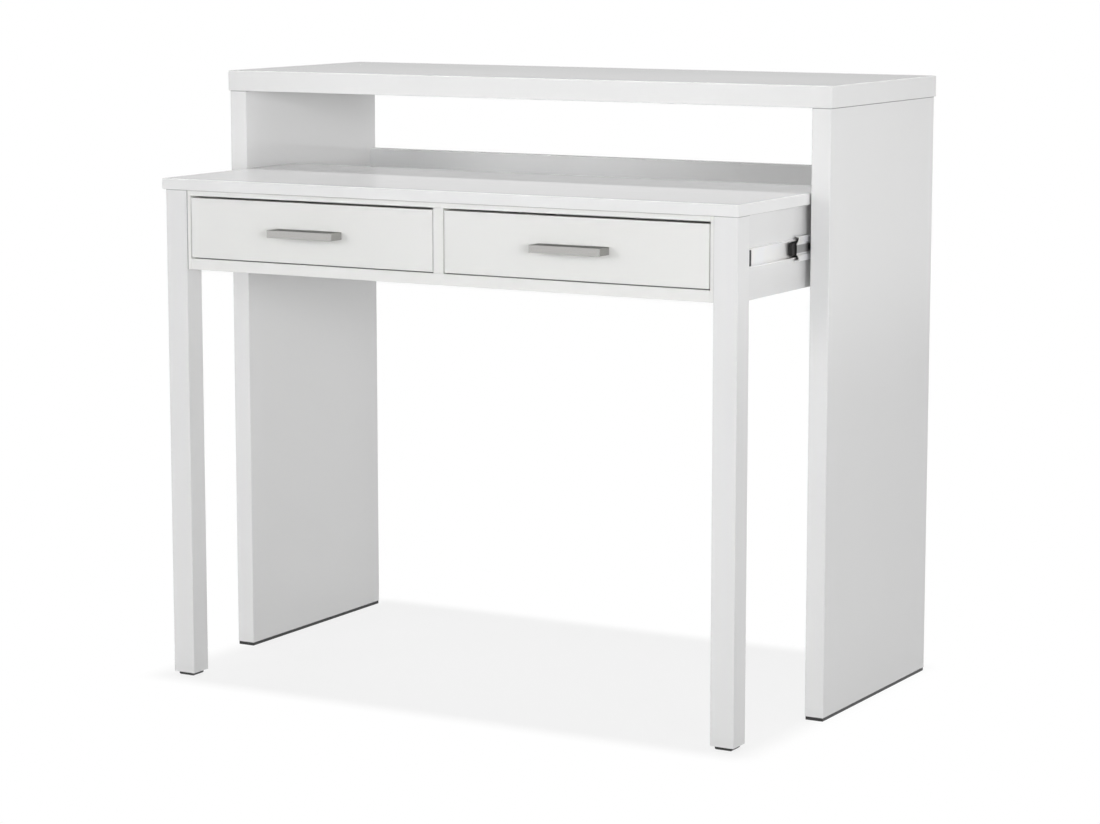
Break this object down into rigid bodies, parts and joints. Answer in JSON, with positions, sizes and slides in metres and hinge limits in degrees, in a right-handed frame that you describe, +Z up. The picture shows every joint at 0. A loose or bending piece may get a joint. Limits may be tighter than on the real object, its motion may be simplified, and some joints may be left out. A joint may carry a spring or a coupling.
{
  "type": "extendable desk",
  "caption": "White high-gloss console table with a pull-out drawer desk that runs on telescopic ball-bearing slides.",
  "frame": {"origin": "on the floor, at the middle of the footprint with the desk pulled out as pictured", "axes": "+X to the right seen from the front, +Y to the back, +Z up"},
  "size_m": [0.986, 0.5936, 0.875],
  "materials": {
    "console_lacquer": "white high-gloss lacquer on board",
    "desktop_lacquer": "white high-gloss lacquer on board",
    "desk_lacquer": "white high-gloss lacquer on board",
    "drawer_lacquer": "white lacquer, slightly warmer",
    "drawer_board": "white melamine board",
    "dowel_beech": "plain beech",
    "foot_plastic": "black moulded plastic",
    "runner_plastic": "white moulded plastic",
    "lever_plastic": "black moulded plastic",
    "cage_plastic": "black moulded plastic",
    "ball_steel": "polished bearing steel",
    "screw_steel": "zinc-plated steel",
    "slide_zinc": "bright zinc-plated rolled steel",
    "handle_nickel": "satin nickel plating on a zinc casting"
  },
  "bodies": {
    "console": {"console_top": "console_lacquer", "console_side_left": "console_lacquer", "console_side_right": "console_lacquer", "console_back_rail": "console_lacquer", "base_strip_left": "foot_plastic", "base_strip_right": "foot_plastic", "console_dowels": "dowel_beech", "slide_outer_left": "slide_zinc", "slide_outer_right": "slide_zinc", "slide_outer_screws": "screw_steel"},
    "outer_cages": {"outer_ball_cages": "slide_zinc", "outer_balls": "ball_steel"},
    "slide_middle": {"slide_middle_left": "slide_zinc", "slide_middle_right": "slide_zinc"},
    "inner_cages": {"inner_ball_cages": "cage_plastic", "inner_balls": "ball_steel"},
    "desk": {"desktop": "desktop_lacquer", "desk_leg_left": "desk_lacquer", "desk_leg_right": "desk_lacquer", "leg_glide_left": "foot_plastic", "leg_glide_right": "foot_plastic", "carcass_side_left": "desk_lacquer", "carcass_side_right": "desk_lacquer", "carcass_liner_left": "desk_lacquer", "carcass_liner_right": "desk_lacquer", "carcass_bottom": "desk_lacquer", "carcass_back": "desk_lacquer", "carcass_divider": "desk_lacquer", "carcass_top_rail": "desk_lacquer", "desk_dowels": "dowel_beech", "slide_inner_left": "slide_zinc", "slide_inner_right": "slide_zinc", "slide_inner_screws": "screw_steel", "slide_bumper_left": "lever_plastic", "slide_bumper_right": "lever_plastic", "lever_pins": "slide_zinc", "drawer_runners_left": "runner_plastic", "drawer_runners_right": "runner_plastic"},
    "lever_left": {"release_lever_left": "lever_plastic"},
    "lever_right": {"release_lever_right": "lever_plastic"},
    "drawer_left": {"drawer_front_left": "drawer_lacquer", "drawer_outer_side_left": "drawer_board", "drawer_inner_side_left": "drawer_board", "drawer_back_left": "drawer_board", "drawer_bottom_left": "drawer_board", "handle_left": "handle_nickel", "handle_screws_left": "screw_steel"},
    "drawer_right": {"drawer_front_right": "drawer_lacquer", "drawer_outer_side_right": "drawer_board", "drawer_inner_side_right": "drawer_board", "drawer_back_right": "drawer_board", "drawer_bottom_right": "drawer_board", "handle_right": "handle_nickel", "handle_screws_right": "screw_steel"}
  },
  "joints": [
    {"name": "slide_stage_one", "type": "slide", "parent": "console", "child": "slide_middle", "axis": [0, -1, 0], "range_m": [-0.069, 0.076]},
    {"name": "slide_stage_two", "type": "slide", "parent": "slide_middle", "child": "desk", "axis": [0, -1, 0], "range_m": [-0.145, 0]},
    {"name": "outer_cage_travel", "type": "slide", "parent": "console", "child": "outer_cages", "axis": [0, -1, 0], "range_m": [-0.0345, 0.038]},
    {"name": "inner_cage_travel", "type": "slide", "parent": "slide_middle", "child": "inner_cages", "axis": [0, -1, 0], "range_m": [-0.0725, 0]},
    {"name": "drawer_left_slide", "type": "slide", "parent": "desk", "child": "drawer_left", "axis": [0, -1, 0], "range_m": [0, 0.2]},
    {"name": "drawer_right_slide", "type": "slide", "parent": "desk", "child": "drawer_right", "axis": [0, -1, 0], "range_m": [0, 0.2]},
    {"name": "release_lever_left_hinge", "type": "hinge", "parent": "desk", "child": "lever_left", "pos_m": [-0.4533, -0.05575, 0.657], "axis": [1, 0, 0], "range_deg": [-2, 2], "stiffness_Nm_per_rad": 0.5},
    {"name": "release_lever_right_hinge", "type": "hinge", "parent": "desk", "child": "lever_right", "pos_m": [0.4533, -0.05575, 0.657], "axis": [1, 0, 0], "range_deg": [-2, 2], "stiffness_Nm_per_rad": 0.5}
  ],
  "couplings": [
    {"joint": "outer_cage_travel", "follows": "slide_stage_one", "ratio": 0.5},
    {"joint": "inner_cage_travel", "follows": "slide_stage_two", "ratio": 0.5}
  ]
}
